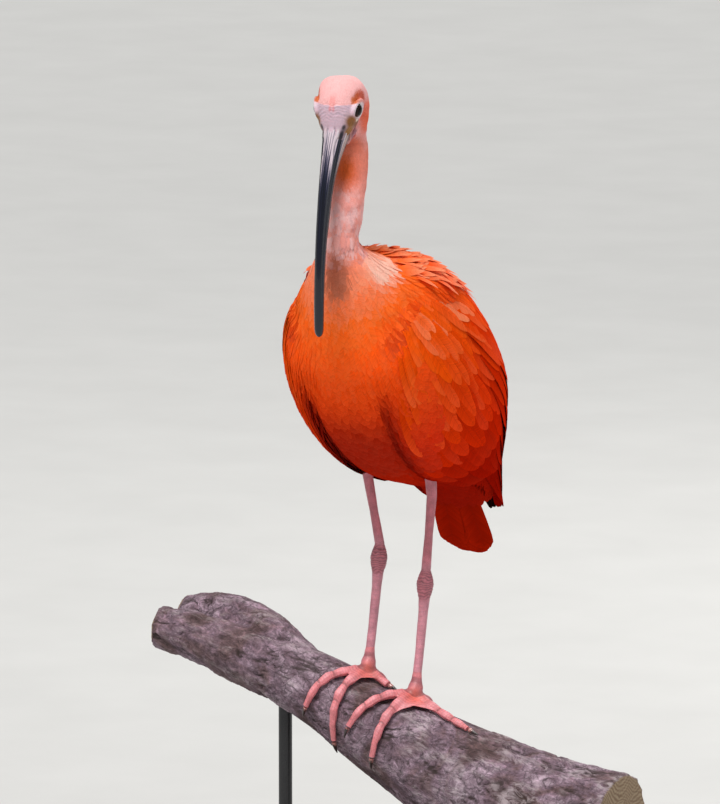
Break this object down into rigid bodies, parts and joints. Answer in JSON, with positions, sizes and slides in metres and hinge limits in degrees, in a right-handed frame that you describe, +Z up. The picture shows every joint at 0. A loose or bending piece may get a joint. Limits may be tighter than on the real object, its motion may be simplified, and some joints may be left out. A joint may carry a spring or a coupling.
{
  "type": "scarlet ibis model on a branch perch",
  "caption": "Life-size still model of a scarlet ibis gripping a cut length of branch, with a long curved bill and folded wings, held by a flat display stand.",
  "frame": {"origin": "middle of the flat underside of the stand's base", "axes": "+Z up, the bird faces -Y, and its left side is towards +X, where the branch is thick"},
  "size_m": [0.3783, 0.2535, 0.6454],
  "materials": {
    "plumage_body": "soft orange-scarlet contour feathers",
    "plumage_wing": "smooth scarlet vanes with fine barbs",
    "plumage_head": "short plush salmon-pink feathers",
    "bill_horn": "dark slate horn, glossy, paler and pink at its base",
    "eye_gloss": "polished very dark brown",
    "leg_skin": "pink-mauve scaly skin, slightly waxy",
    "claw_horn": "dark horn",
    "bark": "weathered mauve-grey bark, matt and cracked",
    "stand_wood": "dark stained board, satin",
    "stand_steel": "dark satin paint"
  },
  "bodies": {
    "root": {"head": "plumage_head", "neck": "plumage_head", "torso": "plumage_body", "wing_left": "plumage_wing", "wing_right": "plumage_wing", "tail": "plumage_wing", "bill_upper": "bill_horn", "bill_lower": "bill_horn", "eye_left": "eye_gloss", "eye_right": "eye_gloss", "shank_left": "leg_skin", "shank_right": "leg_skin", "tarsus_left": "leg_skin", "tarsus_right": "leg_skin", "foot_left": "leg_skin", "foot_right": "leg_skin", "claw_left_inner": "claw_horn", "claw_left_middle": "claw_horn", "claw_left_outer": "claw_horn", "claw_left_hind": "claw_horn", "claw_right_inner": "claw_horn", "claw_right_middle": "claw_horn", "claw_right_outer": "claw_horn", "claw_right_hind": "claw_horn", "perch": "bark", "stand_base": "stand_wood", "stand_rod_left": "stand_steel", "stand_rod_right": "stand_steel"}
  },
  "joints": []
}
